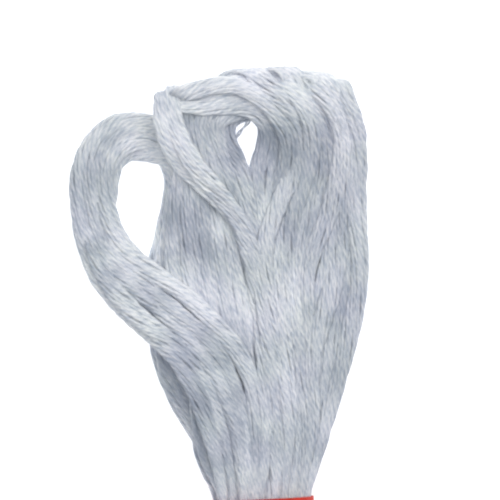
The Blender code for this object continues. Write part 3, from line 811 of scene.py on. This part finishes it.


# the painted sheen and painted shade of a thread at each point of its path, with a slow random change of
# tone
def paintedLightAndToneOf(path, tangent, shaded, waves):
    points = path[:, :3]
    # painted sheen: threads that lie across the light are painted lighter
    across = np.clip(tangent[:, 0] ** 2 / paintedLightAndToneSettings["acrossFull"], 0, 1)
    paintedLightAndTone = paintedLightAndToneSettings["along"] + (1 - paintedLightAndToneSettings["along"]) * across + paintedLightAndToneSettings["varies"] * waves
    leftward = (paintedLightAndToneSettings["behindFrom"] - points[:, 0]) / paintedLightAndToneSettings["behindReach"]
    # painted shade on the legs behind the head
    paintedLightAndTone -= shaded * (np.clip(path[:, 5], 0, 1) * np.clip(leftward, 0, 1))
    # the soft spots of painted shade and of painted highlight
    for spots, sign in ((paintedLightAndToneSettings["shades"], -1), (paintedLightAndToneSettings["lights"], 1)):
        for x, rise, radius, amount in spots:
            away = ((points[:, 0] - x) ** 2 + (points[:, 1] - bandEdge - rise) ** 2) / radius**2
            paintedLightAndTone += sign * amount * np.exp(-away)
    return np.clip(paintedLightAndTone, 0, 1)


# a piece: these threads, each of its twisted yarns, or of a few stray fibres
def makeThreads(name, paths, firstLane, sides, shaded, tree, material, stray=None):
    spots, edges = [], []
    labels = ("facing", "side", "along", "lane", "turns", "halfWide", "halfThick", "paintedLightAndTone")
    kept = {label: [] for label in labels}
    dice = random.Random(firstLane)
    bandedWide, looseWide = yarnSettings["halfWidth"]
    bandedThick, looseThick = yarnSettings["halfHeight"]
    spread = stray["spread"] if stray else 1.0

    def waves(along, lengths):
        return sum(wave(along, length, dice) for length in lengths) / len(lengths)

    for number, (path, pitch) in enumerate(paths):
        points, facing = path[:, :3], path[:, 3:]
        tangent = tangentsOf(points)
        side = np.cross(tangent, facing)
        side /= np.linalg.norm(side, axis=1)[:, None]
        loose = looseness(points[:, 1])
        along, gaps = lengthsOf(points)
        rate = (1 + yarnSettings["pitchVaries"] * waves(along, yarnSettings["pitchWaves"])) / pitch
        girth = waves(along, yarnSettings["girthWaves"])
        girth = 1 + yarnSettings["girthVaries"] * (girth + dice.uniform(-0.5, 0.5))
        wide = (bandedWide + (looseWide - bandedWide) * loose) * girth * spread
        thick = (bandedThick + (looseThick - bandedThick) * loose) * spread
        start = len(spots)
        spots.extend(points)
        edges.extend((start + i, start + i + 1) for i in range(len(points) - 1))
        kept["facing"].extend(np.cross(side, tangent))
        kept["side"].extend(side)
        kept["along"].extend(along * mm)
        kept["lane"].extend([firstLane + number] * len(points))
        kept["turns"].extend(dice.random() + np.concatenate([[0], np.cumsum(rate[1:] * gaps)]))
        kept["halfWide"].extend(wide * mm)
        kept["halfThick"].extend(thick * mm)
        kept["paintedLightAndTone"].extend(paintedLightAndToneOf(path, tangent, shaded, waves(along, paintedLightAndToneSettings["waves"])))
    mesh = bpy.data.meshes.new(name)
    mesh.from_pydata([Vector(spot) * mm for spot in spots], edges, [])
    for label, values in kept.items():
        kind, key = ("FLOAT_VECTOR", "vector") if label in ("facing", "side") else ("FLOAT", "value")
        data = mesh.attributes.new(label, kind, "POINT").data
        data.foreach_set(key, np.array(values, np.float32).ravel())

    piece = bpy.data.objects.new(name, mesh)
    bpy.context.scene.collection.objects.link(piece)
    grow = piece.modifiers.new("twistedYarns", "NODES")
    grow.node_group = tree
    sockets = {item.name: item.identifier for item in tree.interface.items_tree if item.in_out == "INPUT"}
    grow[sockets["Sides"]] = sides
    if stray:
        grow[sockets["Yarns"]] = stray["fibres"]
        grow[sockets["Yarn Radius"]] = stray["radius"] * mm
    grow[sockets["Material"]] = material
    graph = bpy.context.evaluated_depsgraph_get()
    grown = piece.evaluated_get(graph)
    made = bpy.data.meshes.new_from_object(grown, preserve_all_data_layers=True, depsgraph=graph)
    piece.modifiers.clear()
    piece.data = made
    made.name = name
    print(f"  {name}: {len(made.polygons)} faces")
    return piece


print("twisting the yarns")
yarns, cotton = yarnTree(), flossMaterial()
frontCount, mainCount = len(mainFronts), len(mainThreads)
lowerCount = sum(nest[0] for nest in tailNests[:2])  # the first two nests make one piece
# each piece's threads, their yarns' sides, and how much painted shade darkens its legs behind the head
pieces = [
    ("mainTurnsFront", headPaths[:frontCount], 4, 0.2),
    ("mainTurnsBack", headPaths[frontCount:mainCount], 4, 0.2),
    ("loopAndCrossingTurns", headPaths[mainCount:], 4, 0.0),
    ("tailLower", tailPaths[:lowerCount], 3, 0.0),
    ("tailUpper", tailPaths[lowerCount:], 3, 0.0),
    ("strayFibres", strayPaths, 4, 0.6),
]
firstLane = 0
for name, paths, sides, shaded in pieces:
    stray = strayFibres if paths is strayPaths else None
    piece = makeThreads(name, paths, firstLane, sides, shaded, yarns, cotton, stray)
    firstLane += len(paths)
    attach(piece, "root")
    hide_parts("hank")


bandSettings = {
    "corner": 2.4,
    "cornerSteps": 8,
    "thickness": 0.14,
    "rings": 14,
    "skew": 0.051,  # how far its edges slope, rise for each unit across
    "edgeRise": -0.034,
    "shader": {"Roughness": 0.5, "Specular IOR Level": 0.3},
    "mottle": {"Scale": 900.0, "Detail": 5.0},
    "mottlePositions": (0.3, 0.7),
    "darkRed": (0.53, 0.028, 0.016),
    "lightRed": (0.65, 0.042, 0.024),
    "grainStrength": 0.2,
    "grainHeight": 0.02,
}


# the rounded section of the band
def bandOutline():
    radius = bandSettings["corner"]
    across = (bandHigh.x - bandLow.x) / 2 - radius
    low, high = bandLow.z + radius, bandHigh.z - radius
    outline = []
    for x, z, start in [(across, high, 0), (-across, high, 90), (-across, low, 180), (across, low, 270)]:
        for step in range(bandSettings["cornerSteps"] + 1):
            angle = math.radians(start + 90 * step / bandSettings["cornerSteps"])
            outline.append((x + radius * math.cos(angle), z + radius * math.sin(angle)))
    return outline


# plain red coated paper
def paperMaterial():
    material, tree, shader = newMaterial("redPaper", bandSettings["shader"])
    place = addNode(tree, "ShaderNodeTexCoord").outputs["Object"]
    mottle = addNoise(tree, place, **bandSettings["mottle"])
    tone = addRamp(tree, mottle, bandSettings["darkRed"], bandSettings["lightRed"],
                   bandSettings["mottlePositions"])
    tree.links.new(tone, shader.inputs["Base Color"])
    addBump(tree, shader, mottle, bandSettings["grainStrength"], bandSettings["grainHeight"])
    return material


# the paper band, wrapped a little askew
def makeBand():
    bm = bmesh.new()
    rings = []
    for step in range(bandSettings["rings"] + 1):
        share = step / bandSettings["rings"]
        ring = []
        for x, z in bandOutline():
            y = bandLow.y + (bandHigh.y - bandLow.y) * share
            y += bandSettings["skew"] * x + bandSettings["edgeRise"]
            ring.append(bm.verts.new(Vector((x, y, z)) * mm))
        rings.append(ring)
    for ring, following in zip(rings, rings[1:]):
        for k in range(len(ring)):
            after = (k + 1) % len(ring)
            bm.faces.new((ring[k], following[k], following[after], ring[after]))
    bmesh.ops.recalc_face_normals(bm, faces=bm.faces)
    mesh = bpy.data.meshes.new("paperSleeve")
    bm.to_mesh(mesh)
    bm.free()
    mesh.shade_smooth()
    band = bpy.data.objects.new("paperSleeve", mesh)
    bpy.context.scene.collection.objects.link(band)
    wall = band.modifiers.new("paper", "SOLIDIFY")
    wall.thickness = bandSettings["thickness"] * mm
    wall.offset = -1
    mesh.materials.append(paperMaterial())
    return band


print("wrapping the paper band")
band = makeBand()
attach(band, "root")
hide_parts("paper_band")


studioSettings = {
    "pictureWidth": 50.0,  # what the picture spans
    "pictureCentre": (-1.3, 24.8),  # x, and rise above the band
    "pictureHeight": 3.5,  # the height above the surface at which it spans that
    "lens": 500.0,
    "sensor": 36.0,
    "filter": 2.4,  # how soft the picture is, in pixels
    "bounces": 10,  # of light among the pale threads
    # the surface and the lights, in metres
    "surfaceHalf": 3.0,
    "surface": {"Base Color": (0.94, 0.94, 0.94, 1), "Roughness": 0.9, "Specular IOR Level": 0.1,
                "Emission Color": (1, 1, 1, 1), "Emission Strength": 0.75},
    "keyPower": 2.7,
    "keySize": 0.85,
    "keyPlace": (0.07, 0.22, 0.41),
    "keyAim": (0.0, 0.04, 0.0),
    "keyTint": (1.0, 0.98, 0.955),
    "worldStrength": 0.31,
    "worldTint": (0.80, 0.87, 1.0),
}


# the white surface that the skein lies on
def makeSurface(scene):
    bm = bmesh.new()
    bmesh.ops.create_grid(bm, x_segments=1, y_segments=1, size=studioSettings["surfaceHalf"])
    mesh = bpy.data.meshes.new("surface")
    bm.to_mesh(mesh)
    bm.free()
    mesh.materials.append(newMaterial("whiteSurface", studioSettings["surface"])[0])
    surface = bpy.data.objects.new("surface", mesh)
    scene.collection.objects.link(surface)


# a large soft light from the head's side, and even light all round
def makeLights(scene):
    world = bpy.data.worlds.new("softRoom")
    scene.world = world
    world.use_nodes = True
    background = world.node_tree.nodes["Background"]
    background.inputs["Strength"].default_value = studioSettings["worldStrength"]
    background.inputs["Color"].default_value = (*studioSettings["worldTint"], 1)

    light = bpy.data.lights.new("keyLight", "AREA")
    light.shape = "DISK"
    light.size = studioSettings["keySize"]
    light.color = studioSettings["keyTint"]
    light.energy = studioSettings["keyPower"]
    key = bpy.data.objects.new("keyLight", light)
    key.location = studioSettings["keyPlace"]
    back = Vector(key.location) - Vector(studioSettings["keyAim"])
    key.rotation_euler = back.to_track_quat("Z", "Y").to_euler()
    scene.collection.objects.link(key)


# a long lens straight above the head
def makeCamera(scene):
    camera = bpy.data.cameras.new("camera")
    camera.lens = studioSettings["lens"]
    camera.sensor_width = studioSettings["sensor"]
    away = studioSettings["pictureWidth"] * camera.lens / camera.sensor_width
    eye = bpy.data.objects.new("camera", camera)
    x, rise = studioSettings["pictureCentre"]
    eye.location = Vector((x, bandEdge + rise, away + studioSettings["pictureHeight"])) * mm
    scene.collection.objects.link(eye)
    scene.camera = eye
    scene.view_settings.view_transform = "Standard"
    scene.cycles.diffuse_bounces = studioSettings["bounces"]
    scene.cycles.filter_width = studioSettings["filter"]


print("setting the light and camera")
makeSurface(bpy.context.scene)
makeLights(bpy.context.scene)
makeCamera(bpy.context.scene)
